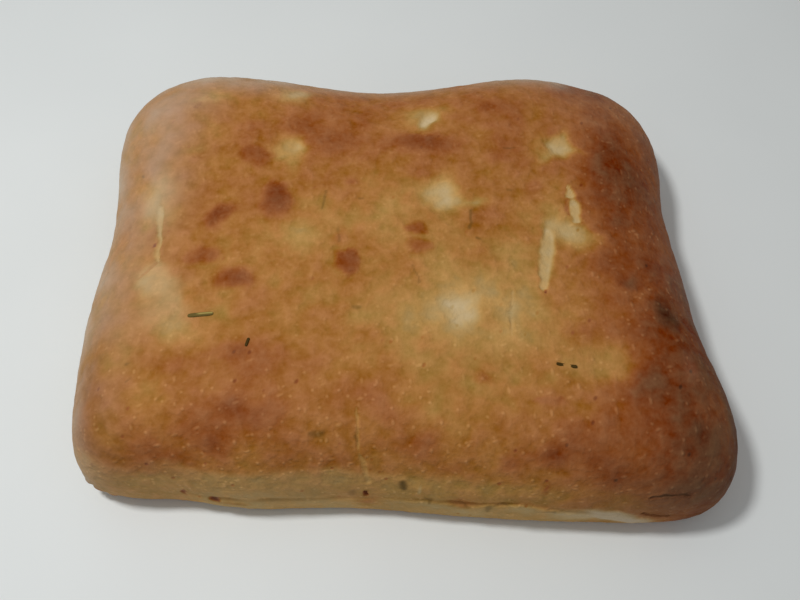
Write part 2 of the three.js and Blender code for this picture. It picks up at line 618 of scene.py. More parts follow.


# Zones and tints of the crust, each laid over the ones before it.
# Grey that a zone adds or takes away on the left, back and right edges tunes the painted sheen there.
ZONES = (
    Patch(-96, 0, 52, 190, TAN, 0.8),
    Patch(-52, 18, 56, 60, BROWN, 0.22),
    Patch(-18, 48, 84, 46, BROWN, 0.75),
    Patch(38, 48, 52, 44, BROWN, 0.85),
    Patch(82, 20, 52, 90, RUSSET, 0.95),
    Patch(88, -20, 36, 70, RUSSET, 0.95),
    Patch(84, -58, 56, 56, RUSSET, 0.95),
    Patch(68, 66, 28, 28, DARK, 0.6),
    Patch(91, -36, 28, 54, DARK, 0.65),
    Patch(26, -24, 50, 48, GOLDEN, 0.85),
    Patch(-4, -42, 76, 26, GOLDEN, 0.3),
    Patch(-42, -68, 110, 16, BROWN, 0.6),
    Patch(52, -66, 70, 18, BROWN, 0.7),
    Patch(78, -70, 46, 24, RUSSET, 0.75),
    Patch(75, -38, 13, 24, RUSSET, 0.85),
    Patch(50, 16, 9, 18, GOLDEN, 0.5),
    Patch(29, 3, 15, 18, RUSSET, 0.45),
    Patch(-7, 4, 18, 12, GOLDEN, 0.6),
    Patch(36, -28, 22, 20, STRAW, 0.6),
    Patch(-16, -47, 42, 17, BROWN, 0.2),
    Patch(22, -57, 26, 11, GOLDEN, 0.5),
    Patch(-30, -8, 11, 13, GOLDEN, 0.35),
    Patch(38, 15, 8, 9, BROWN, 0.5),
    Patch(62, -58, 11, 11, RUSSET, 0.4),
    Patch(86, -56, 36, 54, DARK, 0.35),
    # The next three darken the right-front corner: partly browner crust, partly painted shade where it turns
    # from the light.
    Patch(90, -72, 40, 26, DARK, 0.6),
    Patch(94, -66, 28, 36, DARK, 0.7),
    Patch(95, -66, 22, 30, SCORCHED, 0.4),
    Patch(66, -75, 18, 12, RUSSET, 0.6),
    Patch(78, 12, 11, 11, DARK, 0.5),
    Patch(-80, -67, 15, 11, RUSSET, 0.2),
    Patch(-64, -70, 18, 8, RUSSET, 0.4),
    Patch(-46, -60, 14, 14, RUSSET, 0.3),
    Patch(-92, -47, 16, 32, BROWN, 0.6, dust_and_sheen=-0.15),
    # The next two lay an olive tinge over the left-front corner, painted shade where that corner gets less
    # light.
    Patch(-94, -50, 28, 60, TAN, 0.0, herb_and_shade=0.19),
    Patch(-80, -40, 22, 30, GOLDEN, 0.25, herb_and_shade=0.04),
    Patch(-50, -42, 24, 18, RUSSET, 0.4),
    Patch(-20, -40, 28, 18, RUSSET, 0.15),
    Patch(72, 62, 44, 26, RUSSET, 0.0, dust_and_sheen=0.13),
    # The next two lay an olive-grey tinge on the right-front corner, partly painted shade.
    Patch(96, -62, 30, 60, RUSSET, 0.0, dust_and_sheen=0.04, herb_and_shade=0.2),
    Patch(78, -80, 50, 22, RUSSET, 0.0, dust_and_sheen=0.07, herb_and_shade=0.32),
    Patch(93.5, -57, 14, 28, TAN, 0.35),
    Patch(86, -77, 20, 14, DARK, 0.45),
    Patch(-90, -64, 24, 26, BROWN, 0.5, herb_and_shade=0.28),
    Patch(-62, -64, 46, 16, RUSSET, 0.22),
    Patch(-40, -54, 70, 18, RUSSET, 0.2),
    Patch(1, 11, 16, 26, GOLDEN, 0.5),
    Patch(-88, 40, 20, 26, TAN, 0.0, dust_and_sheen=0.1),
    Patch(-76, -55, 15, 13, GOLDEN, 0.45),
    Patch(-88, 30, 16, 28, TAN, 0.4, dust_and_sheen=-0.2),
    Patch(-90, 6, 14, 22, TAN, 0.3, dust_and_sheen=-0.15),
    Patch(22, 72, 11, 18, BROWN, 0.6, dust_and_sheen=-0.35),
    Patch(-52, 51, 16, 11, GOLDEN, 0.5),
    Patch(-65, 58, 13, 9, STRAW, 0.4),
    Patch(66, 22, 14, 22, RUSSET, 0.6),
    Patch(50, 53, 18, 10, RUSSET, 0.35),
    Patch(-75.5, -15.5, 15, 11, STRAW, 0.65, -35, FIRM, dust_and_sheen=0.12),
    Patch(-69, -25, 14, 18, STRAW, 0.6, dust_and_sheen=0.18),
    Patch(-78.5, 2, 4, 11, BROWN, 0.5),
    Patch(-62, -34.5, 12, 11, STRAW, 0.45),
)

# Spots that stayed paler than the crust round them. Those with a rise below zero are dents.
PALE_SPOTS = (
    Patch(12.8, 15, 13.5, 14, BARE, 0.75, 0, FIRM, -1.2),
    Patch(24, 12, 10, 3, STRAW, 0.6),
    Patch(17, -26, 19, 19, STRAW, 0.65),
    Patch(19, -26.5, 11, 11, BARE, 0.8, 0, FIRM, -0.9),
    Patch(7, 47.5, 17, 10, GOLDEN, 0.75),
    Patch(9.8, 48.2, 6, 6.5, BARE, 0.95, 0, FIRM, -1.2),
    Patch(-37, 34, 12, 13, STRAW, 0.75, 0, FIRM, -1.1),
    # A painted highlight: the lit wall of the dent above.
    Patch(-34, 35, 3, 6, BARE, 0.6),
    Patch(52.5, 35.5, 8.5, 9, BARE, 0.75, 0, FIRM, -1.1),
    Patch(49, 32, 13, 3, STRAW, 0.65, 48),
    Patch(57, 34, 8, 3, STRAW, 0.6, -18),
    Patch(54, 39, 3, 5, STRAW, 0.5),
    Patch(61, -44, 18, 14, GOLDEN, 0.75, 0, FIRM, -0.9),
    Patch(-31, 0, 14, 10, GOLDEN, 0.6),
    Patch(-79, 16, 13, 16, STRAW, 0.65, dust_and_sheen=0.2),
    Patch(-11, -31, 14, 8, GOLDEN, 0.6),
    Patch(0, -29, 24, 20, GOLDEN, 0.35),
    Patch(-37, 59.5, 11, 10, STRAW, 0.65, dust_and_sheen=0.1),
    Patch(-67, 56, 9, 3, STRAW, 0.4),
    Patch(52.3, 2, 15, 10, BARE, 0.65, -35, FIRM, -0.6),
    Patch(60.5, -2.5, 11, 6, STRAW, 0.6, -20, FIRM),
    Patch(32, -36, 12, 8, STRAW, 0.4),
    Patch(20, -51.5, 8, 4, GOLDEN, 0.5),
    Patch(-56, -36, 10, 9, GOLDEN, 0.5),
    Patch(49, -43.5, 14, 7, GOLDEN, 0.6),
    Patch(-53.5, -28, 7, 8, GOLDEN, 0.7),
    Patch(5, 51, 8, 6, STRAW, 0.5),
    Patch(14, 52, 11, 7, GOLDEN, 0.6),
    Patch(42, -49, 7, 6, GOLDEN, 0.7),
    Patch(-35, 28, 6, 8, GOLDEN, 0.7),
    Patch(46, 35, 6, 12, GOLDEN, 0.6),
    Patch(-34, 61, 9, 5, STRAW, 0.5, dust_and_sheen=0.15),
    Patch(66, 46, 9, 5, TAN, 0.5, dust_and_sheen=0.1),
    Patch(-32, -1.5, 15, 11, STRAW, 0.35),
    Patch(7.5, 13, 6, 11, STRAW, 0.4),
    Patch(10, -58, 7, 9, GOLDEN, 0.6),
    Patch(2, -29.5, 7, 10, STRAW, 0.35),
    Patch(49, 9, 6, 8, STRAW, 0.35),
    Patch(85.5, -43, 6, 9, BROWN, 0.45, dust_and_sheen=0.08),
)

# Spots that browned or scorched. Those with a rise are blisters.
BROWN_SPOTS = (
    Patch(-40, 14, 9, 14, RUSSET, 0.95, 0, FIRM, 0.7),
    Patch(-39.5, 16, 5, 7, DARK, 0.35),
    Patch(-47.5, 31, 12, 8, RUSSET, 0.8, 0, FIRM, 0.3),
    Patch(-66, 30, 7, 5, BROWN, 0.6),
    Patch(-56, 8, 13, 7, RUSSET, 0.85, 28, FIRM, 0.5),
    Patch(-57.5, 7, 6, 4, DARK, 0.4, 28),
    Patch(-60, -7, 12, 7, RUSSET, 0.75, 15, FIRM, 0.3),
    Patch(-51, -15.5, 11, 8, RUSSET, 0.85, 0, FIRM, 0.6),
    Patch(-51.5, -15.5, 6, 4, DARK, 0.2, 30),
    Patch(-17.2, -10, 8, 8, RUSSET, 0.95, 20, SHARP, 0.6),
    Patch(-19, -1, 2.5, 6, BROWN, 0.7),
    Patch(5, 2.5, 5, 4.5, RUSSET, 0.8, 0, FIRM, 0.4),
    Patch(4.5, -5, 6.5, 7, RUSSET, 0.65, 0, FIRM, 0.5),
    Patch(6.5, 36.3, 20, 9, RUSSET, 0.8, 0, FIRM, 0.6),
    Patch(9, 35.8, 10, 6, DARK, 0.25),
    Patch(-31, 46, 9, 9, RUSSET, 0.6),
    Patch(-22, 40, 13, 11, RUSSET, 0.55),
    Patch(30, 53, 10, 5, RUSSET, 0.6),
    Patch(43, 17, 6, 6, RUSSET, 0.45),
    Patch(72, 28, 22, 32, DARK, 0.7, 0, SOFT, 0.8),
    Patch(69, 6, 10, 9, DARK, 0.5),
    Patch(66, -10, 22, 15, RUSSET, 0.85),
    Patch(70.5, -15.4, 8, 5, DARK, 0.75),
    Patch(87.5, -11.7, 4, 5, DARK, 0.6),
    Patch(81, -26.5, 11, 16, DARK, 0.85, 0, SOFT, 0.7, dust_and_sheen=-0.1),
    Patch(80.5, -26.7, 6, 8, SCORCHED, 0.95),
    Patch(79.6, -55, 9, 13, DARK, 0.55),
    Patch(55, -35, 7, 6, BROWN, 0.9),
    Patch(43, -71.5, 12, 8, RUSSET, 0.95),
    Patch(-53, -66.8, 9, 8, RUSSET, 0.85),
    Patch(-59.5, -62.8, 8, 7, RUSSET, 0.5),
    Patch(-47, -57, 9, 8, RUSSET, 0.65, 0, FIRM),
    Patch(-67, -46, 9, 8, BROWN, 0.7),
    Patch(-47, -56, 16, 13, RUSSET, 0.45),
    Patch(-47.5, -39.5, 7, 7, RUSSET, 0.65),
    Patch(-10, -50, 7, 5, BROWN, 0.6),
    Patch(4, -67.8, 9, 5, RUSSET, 0.5),
    Patch(23.3, -49.1, 5, 4, RUSSET, 0.6),
    Patch(31, -72, 6, 5, RUSSET, 0.5),
    Patch(45, -56, 5, 1.6, RUSSET, 0.6),
    Patch(39, -55.5, 4, 2, RUSSET, 0.5),
    Patch(-15, 20, 4, 4, RUSSET, 0.5),
    Patch(6, 24, 6, 4, RUSSET, 0.4),
    Patch(-40, -59, 11, 8, RUSSET, 0.6),
    Patch(-75, -71, 26, 8, BROWN, 0.6),
    Patch(-64, -23, 6, 8, TAN, 0.75, dust_and_sheen=-0.15),
    Patch(-58, 4, 7, 6, RUSSET, 0.6),
    Patch(72, -49, 9, 11, DARK, 0.6),
    Patch(42, -70.5, 9, 8, DARK, 0.4),
    Patch(36.5, -43.5, 11, 8, TAN, 0.6),
    Patch(42, -33, 9, 9, TAN, 0.5),
    Patch(64, -66, 11, 8, RUSSET, 0.5),
)

# Spots of the sides: pale stretches of the lip, dark specks, crumbs at the foot, dents and blisters.
SIDE_SPOTS = (
    Patch(-47, 15, 24, 8, STRAW, 0.5, face=FRONT),
    Patch(-32, 8.5, 52, 9, STRAW, 0.45, face=FRONT),
    Patch(-16, 7.5, 16, 7, STRAW, 0.45, face=FRONT),
    Patch(-3, 9.5, 12, 7, GOLDEN, 0.5, face=FRONT),
    Patch(20, 8.5, 16, 6, STRAW, 0.5, face=FRONT),
    Patch(66, 20, 24, 12, GOLDEN, 0.3, face=FRONT),
    Patch(52, 11.5, 18, 7, BARE, 0.7, 0, SOFT, 0.0, FRONT, 0.2),
    Patch(63, 12, 17, 7, BARE, 0.9, -18, FIRM, 0.3, FRONT, 0.5),
    Patch(70, 8, 11, 6, BARE, 0.9, -8, FIRM, 0.3, FRONT, 0.5),
    Patch(76, 6, 9, 6, STRAW, 0.7, face=FRONT),
    # Dark olive on the front's right corner: partly browner crust, partly painted shade.
    Patch(90, 6, 26, 16, DARK, 0.7, face=FRONT, herb_and_shade=0.3),
    Patch(5.4, 20, 1.1, 4, BARE, 0.6, 0, FIRM, 0.2, FRONT),
    Patch(-10, 10, 5, 6, BROWN, 0.5, face=FRONT),
    Patch(18, 14, 7, 6, BROWN, 0.5, 0, FIRM, -0.4, FRONT),
    Patch(41, 25, 1.5, 4, DARK, 0.5, face=FRONT),
    Patch(-64.4, 12.5, 1.3, 4, DARK, 0.7, 0, FIRM, -0.3, FRONT),
    Patch(-55.6, 10.3, 3, 3, SCORCHED, 0.8, -20, FIRM, -0.5, FRONT),
    Patch(-50, 8.5, 8, 3, RUSSET, 0.4, face=FRONT),
    Patch(-69, 9, 2.2, 2.5, DARK, 0.7, 0, FIRM, 0.5, LEFT),
    Patch(-71, 7, 2, 2.2, DARK, 0.7, 0, FIRM, 0.5, LEFT),
    Patch(-88.5, 5, 3, 2.5, DARK, 0.6, 0, FIRM, 0.4, FRONT),
    Patch(-22, 24, 18, 10, GOLDEN, 0.6, 0, SOFT, -0.8, BACK),
    Patch(38, 26, 14, 9, RUSSET, 0.6, 0, SOFT, 0.6, BACK),
    Patch(-62, 21, 12, 8, STRAW, 0.5, 0, SOFT, -0.7, BACK),
    Patch(12, 22, 12, 8, RUSSET, 0.5, 0, SOFT, 0.5, RIGHT),
    Patch(-34, 19, 12, 8, TAN, 0.6, 0, SOFT, -0.7, RIGHT),
    Patch(30, 20, 12, 8, STRAW, 0.5, 0, SOFT, -0.7, LEFT),
)

# Tears of the top, then the slits and pits of the front and of the hidden sides.
TEARS = (
    Tear(Line(((54.9, 19, 0.7), (55.1, 15.5, 1.4))), 0.5, 0.15, BARE, 0.75),
    Tear(Line(((55.6, 12.5, 1.3), (56, 9, 1.7), (56, 6, 1.1))), 0.5, 0.15, BARE, 0.75),
    Tear(
        Line(((46.6, 1, 1.4), (46, -4, 2), (45, -10, 2), (44, -15, 1.7), (43.6, -19, 1))),
        depth=0.6, lip=0.15, browning=BARE, strength=0.65,
    ),
    Tear(
        Line(((33.8, -21, 0.3), (33.4, -26, 0.7), (33, -31, 0.6), (32.8, -35, 0.3))),
        depth=0.4, lip=0.1, browning=STRAW, strength=0.5,
    ),
    Tear(
        Line((
            (-77.6, 12, 1.0), (-76.9, 6, 1.1), (-76.1, 2, 0.7),
            (-75.9, -2, 0.8), (-76, -6, 1.2), (-75, -9, 0.4),
        )),
        depth=0.6, lip=0.15, browning=BARE, strength=0.5,
    ),
    Tear(
        Line((
            (-12.2, -58, 0.3), (-12.2, -62.4, 0.4), (-11.9, -66, 0.5),
            (-10.3, -71.6, 0.7), (-9.6, -74, 0.9),
        )),
        depth=0.4, lip=0.1, browning=STRAW, strength=0.35,
    ),
    Tear(Line(((-75.5, -9.5, 0.5), (-78, -12, 0.5), (-81, -14.3, 0.3))), 0.3, 0.1, TAN, 0.5),
    # From here to the front's last slit, the dark lines, slits and pits are dark partly from browned crust
    # and partly from painted shade inside them.
    Tear(Line(((-77.6, -2.5, 0.4), (-77.4, -3, 0.4))), 0.4, 0.0, DARK, 0.8),
    Tear(Line(((53, 13.2, 0.3), (53.4, 11, 0.7), (53.8, 8.5, 0.3))), 0.5, 0.0, BROWN, 0.8),
    Tear(Line(((43.9, -20.2, 0.4), (43.7, -21, 0.4))), 0.4, 0.0, DARK, 0.8),
    Tear(Line(((-69.8, 52, 0.5), (-68.6, 53.6, 0.4))), 0.5, 0.2, BROWN, 0.8),
    Tear(Line(((-10.1, 16.8, 0.6), (-10.1, 14.8, 0.7)), FRONT), 0.8, 0.2, DARK, 0.9),
    Tear(Line(((71, 24, 0.6), (76, 24.6, 0.5), (82, 24, 0.3)), FRONT), 0.4, 0.2, SCORCHED, 0.45),
    Tear(
        Line(((70.5, 15, 0.3), (74, 14, 0.7), (77, 13, 0.6), (79.5, 13, 0.3)), FRONT),
        depth=1.0, lip=0.3, browning=DARK, strength=0.8,
    ),
    Tear(Line(((92, 13, 0.3), (95, 12, 0.6)), FRONT), 0.9, 0.2, DARK),
    Tear(Line(((28, 19, 0.3), (36, 17.5, 0.7), (45, 18.5, 0.3)), BACK), 1.0, 0.3, BROWN, 0.5),
    Tear(Line(((-42, 9.5, 0.3), (-28, 9, 0.6), (-14, 9.6, 0.3)), BACK), 0.9, 0.3, BROWN, 0.5),
    Tear(Line(((-22, 14, 0.3), (-8, 12.5, 0.6), (5, 13.5, 0.3)), RIGHT), 0.9, 0.3, RUSSET, 0.5),
    Tear(Line(((8, 10.5, 0.3), (22, 9.8, 0.6), (35, 10.6, 0.3)), LEFT), 0.9, 0.3, BROWN, 0.5),
)

# Needles under the skin of the crust, and small olive stains.
HERB_STREAKS = (
    HerbStreak(Line(((-24, 16.5, 0.4), (-25, 10, 0.3))), 0.4),
    HerbStreak(Line(((22.5, 9, 0.4), (22, 2, 0.45))), 0.5),
    HerbStreak(Line(((24, -1.6, 0.4), (25, -1.8, 0.4))), 0.5),
    HerbStreak(Line(((4, -12, 0.4), (5.5, -18, 0.3))), 0.35),
    HerbStreak(Line(((-19.5, 2, 0.35), (-19, -3, 0.3))), 0.3),
    HerbStreak(Line(((34, 34, 0.35), (38, 34, 0.3))), 0.35),
    HerbStreak(Line(((-13.5, -26.5, 0.6), (-12.5, -26.5, 0.6))), 0.35),
    HerbStreak(Line(((35, 17, 0.5), (35.4, 17, 0.5))), 0.35),
    HerbStreak(Line(((-13, 13.5, 0.5), (-12, 13.5, 0.5))), 0.3),
    HerbStreak(Line(((0.8, 22.8, 1.0), (0.8, 20.4, 1.0)), FRONT), 0.8),
    HerbStreak(Line(((-14.2, 16.8, 1.0), (-14.2, 14.4, 1.0)), FRONT), 0.35),
    HerbStreak(Line(((7, 15.5, 0.5), (9, 14.5, 0.8), (8.8, 12.5, 0.4)), FRONT), 0.5),
    HerbStreak(Line(((15, 14.5, 0.4), (19, 13.5, 0.5)), FRONT), 0.4),
    HerbStreak(Line(((26, 14, 0.8), (26.2, 10, 0.4)), FRONT), 0.45),
    HerbStreak(Line(((27.5, 14.5, 0.3), (30, 16, 0.4), (33, 15.5, 0.3)), FRONT), 0.45),
    HerbStreak(Line(((40, 13, 0.4), (45, 13.5, 0.5)), FRONT), 0.4),
    HerbStreak(Line(((-25.5, -64.8, 0.7), (-22.4, -64.6, 1.0))), 0.45),
    HerbStreak(Line(((-12.6, -65, 0.3), (-12.2, -66.4, 0.4))), 0.5),
    HerbStreak(Line(((-85.9, 26.7, 0.4), (-85.6, 26.2, 0.4))), 0.5),
    HerbStreak(Line(((-79.6, -44, 0.4), (-78.2, -43.8, 0.3))), 0.35),
    HerbStreak(Line(((-78.6, -50, 0.3), (-77.8, -49, 0.4))), 0.35),
)


@dataclass(frozen=True)
class Grain:
    """A layer of blotches all over the crust, as noise.

    Attributes:
        size: Width of its blotches, in millimetres.
        bake: How far it moves the browning, up and down.
        bran_and_glint: How far it moves how much pale bran shows, up and down.
        relief: Height of its blotches, up and down, in millimetres.
    """

    size: float
    bake: float
    bran_and_glint: float
    relief: float


@dataclass(frozen=True)
class Fleck:
    """A layer of small flecks scattered over the crust.

    Attributes:
        spacing: Millimetres between the places where one can be.
        radius: Half the width of the largest, in millimetres.
        stretch: Length over width.
        heading: The way of the length, in degrees in plan.
        share: Share of the places that have one.
        bake: How far it moves the browning.
        bran_and_glint: How much pale cream shows in it: bran, and a painted glint on a tiny blister.
        relief: Height, in millimetres.
    """

    spacing: float
    radius: float
    stretch: float
    heading: float
    share: float
    bake: float
    bran_and_glint: float
    relief: float


@dataclass(frozen=True)
class CrustFinish:
    """Baked crust of barley dough: matt, browned in patches, with a dry grain and pale flecks, partly bran
    and partly painted glints on tiny blisters.

    The eye sees cream where the dough shows, then straw, gold, tan and russet as it browns. Its pores are
    finer than a pixel, so the grain is drawn coarser than it is.
    """

    colours: tuple[tuple[Browning, str], ...] = (
        (BARE, "d0b990"),
        (STRAW, "c2a36e"),
        (GOLDEN, "b58b4d"),
        (TAN, "a97238"),
        (BROWN, "9d5f32"),
        (RUSSET, "834622"),
        (DARK, "673a20"),
        (SCORCHED, "4a2712"),
    )
    # Dark olive of needles under the skin, also laid as painted shade in the crease and at the front corners.
    herb_and_shade: str = "4a3a12"
    # Grey of flour dust on the base and of painted sheen on the edges.
    dust_and_sheen: str = "c4b39c"
    # Pale cream of bran in the grain, also laid as painted glints on the pale flecks.
    bran_and_glint: str = "ffcf95"
    grains: tuple[Grain, ...] = (
        Grain(9.0, 0.05, 0.045, 0.10),
        Grain(4.5, 0.03, 0.068, 0.16),
        Grain(2.0, 0.01, 0.04, 0.05),
        Grain(1.0, 0.0, 0.008, 0.02),
    )
    flecks: tuple[Fleck, ...] = (
        Fleck(2.6, 0.7, 1.0, 0, 0.5, 0.0, 0.13, 0.12),
        Fleck(3.2, 0.7, 2.0, 20, 0.4, 0.0, 0.13, 0.12),
        Fleck(3.2, 0.7, 2.0, 95, 0.4, 0.0, 0.13, 0.12),
        Fleck(5.0, 0.7, 1.5, 60, 0.5, 0.2, 0.0, -0.1),
    )
    blotch_contrast: float = 4.6  # how far the noise is stretched, to reach from -1 to 1
    fleck_core: float = 3  # times that a fleck is wider than its core
    bran_on_pale: float = 0.1  # share of the bran that shows where bare dough does
    bran_on_dark: float = 0.5  # share of the bran that shows where the crust is dark
    roughness: float = 0.62
    gloss: float = 0.05

    def material(self) -> bpy.types.Material:
        """Makes the crust's material, which reads the loaf's bake, herb_and_shade, dust_and_sheen and fleck
        attributes.

        Returns:
            The material.
        """
        material, tree, shader = start_material("baked_barley_crust")
        place = add_node(tree, "ShaderNodeTexCoord").outputs["Object"]
        bake, herb_and_shade, dust_and_sheen, gate = [
            add_node(tree, "ShaderNodeAttribute", attribute_name=name).outputs["Fac"]
            for name in ("bake", "herb_and_shade", "dust_and_sheen", "fleck")
        ]
        level, bran_and_glint, height = self.add_flecks(tree, place, gate, self.add_grains(tree, place, bake))
        fades = (
            (BARE, GOLDEN, self.bran_on_pale, 1.0),
            (GOLDEN, DARK, 1.0, self.bran_on_dark),
        )
        for start, end, first, last in fades:
            share = add_node(
                tree,
                "ShaderNodeMapRange",
                {
                    "Value": level,
                    "From Min": start.value,
                    "From Max": end.value,
                    "To Min": first,
                    "To Max": last,
                },
            )
            bran_and_glint = add_node(
                tree, "ShaderNodeMath", {0: bran_and_glint, 1: share.outputs["Result"]}, operation="MULTIPLY"
            ).outputs[0]
        ramp = add_node(tree, "ShaderNodeValToRGB", {"Fac": level})
        stops = ramp.color_ramp.elements
        for browning, colour in self.colours[1:-1]:
            stops.new(browning.value).color = linear(colour)
        stops[0].color = linear(self.colours[0][1])
        stops[-1].color = linear(self.colours[-1][1])
        # Pale cream: bran in the grain, and painted glints on the pale flecks.
        speckled = add_node(
            tree,
            "ShaderNodeVectorMath",
            {0: bran_and_glint, 1: linear(self.bran_and_glint)[:3], 2: ramp.outputs["Color"]},
            operation="MULTIPLY_ADD",
        )
        colour = speckled.outputs["Vector"]
        # Mixes in the olive (needles, and painted shade in the crease and at the front corners), then the
        # grey (flour dust, and painted sheen on the edges).
        for amount, over in ((herb_and_shade, self.herb_and_shade), (dust_and_sheen, self.dust_and_sheen)):
            mix_links = {MIX_AMOUNT: amount, MIX_UNDER: colour, MIX_OVER: linear(over)}
            mixed = add_node(tree, "ShaderNodeMix", mix_links, data_type="RGBA")
            colour = mixed.outputs[MIX_RESULT]
        bump = add_node(tree, "ShaderNodeBump", {"Height": height, "Distance": MM, "Strength": 1.0})
        tree.links.new(colour, shader.inputs["Base Color"])
        tree.links.new(bump.outputs["Normal"], shader.inputs["Normal"])
        shader.inputs["Roughness"].default_value = self.roughness
        shader.inputs["Specular IOR Level"].default_value = self.gloss
        return material

    def add_layer(
        self,
        tree: bpy.types.NodeTree,
        shown: bpy.types.NodeSocket,
        layer: Grain | Fleck,
        totals: list[bpy.types.NodeSocket],
    ) -> list[bpy.types.NodeSocket]:
        """Adds a layer's browning, pale cream (bran, and painted glints on flecks) and relief to the totals.

        Args:
            tree: The material's node tree.
            shown: How much of the layer shows at a point.
            layer: The layer.
            totals: The browning, the bran and the height, in millimetres, so far.

        Returns:
            The totals with the layer on them.
        """
        amounts = (layer.bake, layer.bran_and_glint, layer.relief)
        return [
            add_node(
                tree, "ShaderNodeMath", {0: shown, 1: amount, 2: total}, operation="MULTIPLY_ADD"
            ).outputs[0]
            for amount, total in zip(amounts, totals)
        ]

    def add_grains(
        self, tree: bpy.types.NodeTree, place: bpy.types.NodeSocket, bake: bpy.types.NodeSocket
    ) -> list[bpy.types.NodeSocket]:
        """Adds the layers of blotches.

        Args:
            tree: The material's node tree.
            place: Where a point is on the loaf.
            bake: How far it has browned.

        Returns:
            The browning, the bran and the height, in millimetres, with the layers on them.
        """
        totals = [bake, 0.0, 0.0]
        half_range = 1 / self.blotch_contrast
        for grain in self.grains:
            noise_links = {"Vector": place, "Scale": per_metre(grain.size), "Detail": NOISE_DETAIL}
            lumps = add_node(tree, "ShaderNodeTexNoise", noise_links)
            blotches = add_node(
                tree,
                "ShaderNodeMapRange",
                {
                    "Value": lumps.outputs["Fac"],
                    "From Min": NOISE_MIDDLE - half_range,
                    "From Max": NOISE_MIDDLE + half_range,
                    "To Min": -1.0,
                },
            )
            totals = self.add_layer(tree, blotches.outputs["Result"], grain, totals)
        return totals

    def add_flecks(
        self,
        tree: bpy.types.NodeTree,
        place: bpy.types.NodeSocket,
        gate: bpy.types.NodeSocket,
        totals: list[bpy.types.NodeSocket],
    ) -> list[bpy.types.NodeSocket]:
        """Adds the layers of flecks; the pale ones are partly bran and partly painted glints on tiny
        blisters.

        Args:
            tree: The material's node tree.
            place: Where a point is on the loaf.
            gate: How thickly the flecks lie there.
            totals: The browning, the bran and the height, in millimetres, under them.

        Returns:
            The totals with the flecks on them.
        """
        for fleck in self.flecks:
            turn = (0, 0, math.radians(fleck.heading))
            turned = add_node(
                tree,
                "ShaderNodeMapping",
                {"Vector": place, "Rotation": turn, "Scale": (fleck.stretch, 1, 1)},
                vector_type="TEXTURE",
            )
            cells = add_node(
                tree,
                "ShaderNodeTexVoronoi",
                {"Vector": turned.outputs["Vector"], "Scale": per_metre(fleck.spacing)},
            )
            edge = fleck.radius / fleck.spacing
            core = edge / self.fleck_core
            near = add_node(
                tree,
                "ShaderNodeMapRange",
                {"Value": cells.outputs["Distance"], "From Min": edge, "From Max": core, "To Max": gate},
            )
            drawn = add_node(tree, "ShaderNodeSeparateColor", {"Color": cells.outputs["Color"]})
            few = add_node(
                tree, "ShaderNodeMath", {0: drawn.outputs["Red"], 1: fleck.share}, operation="LESS_THAN"
            )
            shown = add_node(
                tree, "ShaderNodeMath", {0: near.outputs["Result"], 1: few.outputs[0]}, operation="MULTIPLY"
            )
            totals = self.add_layer(tree, shown.outputs[0], fleck, totals)
        return totals


@dataclass
class Skin:
    """What is worked out at each corner of the crust while it is dressed.

    Attributes:
        points: Places on the bare loaf, in millimetres.
        normals: The way out of the loaf.
        lumps: Noise of the broad lumps, from about -0.5 to 0.5.
        pucker: Noise of the fine puckers, alike.
        rise: Millimetres to raise the corner along its normal.
        bake: How far it has browned.
        herb_and_shade: How much olive shows: from a needle under it, as a tinge, and as painted shade in the
            crease and at the front corners.
        dust_and_sheen: How much grey lies on it: flour dust on the base, and painted sheen on the left, back
            and right edges.
        fleck: How thickly flecks lie, the pale ones partly bran and partly painted glints.
    """

    points: np.ndarray
    normals: np.ndarray
    lumps: np.ndarray
    pucker: np.ndarray
    rise: np.ndarray
    bake: np.ndarray
    herb_and_shade: np.ndarray
    dust_and_sheen: np.ndarray
    fleck: np.ndarray

    def brown(self, weight: np.ndarray, level: float) -> None:
        """Moves the browning towards a level, as far as the weight says."""
        self.bake += weight * (level - self.bake)


@dataclass(frozen=True)
class PaintedSheenFilm:
    """Film of grey flour dust on the left, back and right edges of the crust.

    Attributes:
        left: How much lies on the left, at most.
        leftward: Where it starts and is at its most there, along X.
        left_slant: How far that shifts in X for each millimetre of Y.
        rim: How much more lies on the left rim.
        rimward: Where that starts, along X.
        back: How much lies at the back, at most.
        backward: Where it starts there, along Y.
        bend: Millimetres that it starts further forward on the left part of the back.
        bending: Where the back's left part starts, along X.
        back_end: Where the back's sheen ends on the right, along X.
        low_share: Share of the back's sheen that lies low on the side.
        upward: Heights between which it grows to the whole.
        right: How much lies on the right, at most.
        rightward: Where it starts there, along X.
        right_end: Where it ends towards the front, along Y.
        unevenness: How far the broad lumps vary it.
    """

    left: float = 0.36
    leftward: Fade = Fade(-62, -96)
    left_slant: float = 0.2
    rim: float = 0.25
    rimward: Fade = Fade(-88, -100)
    back: float = 0.6
    backward: Fade = Fade(58, 75)
    bend: float = 4
    bending: Fade = Fade(-30, -50)
    back_end: Fade = Fade(66, 54)
    low_share: float = 0.25
    upward: Fade = Fade(14, 28)
    right: float = 0.1
    rightward: Fade = Fade(74, 92)
    right_end: Fade = Fade(-40, -10)
    unevenness: float = 1.2

    def cover(self, points: np.ndarray, lumps: np.ndarray) -> np.ndarray:
        """How much painted sheen lies at some places.

        Args:
            points: Places on the bare loaf, in millimetres.
            lumps: Noise of the broad lumps there.

        Returns:
            From 0 for none to 1, one for each place.
        """
        x, y, z = points.T
        left = self.left * self.leftward.at(x - self.left_slant * y) + self.rim * self.rimward.at(x)
        back = self.back * self.backward.at(y + self.bend * self.bending.at(x)) * self.back_end.at(x)
        back = back * (self.low_share + (1 - self.low_share) * self.upward.at(z))
        right = self.right * self.rightward.at(x) * self.right_end.at(y)
        return np.maximum.reduce((left, back, right)) * (1 + self.unevenness * lumps)


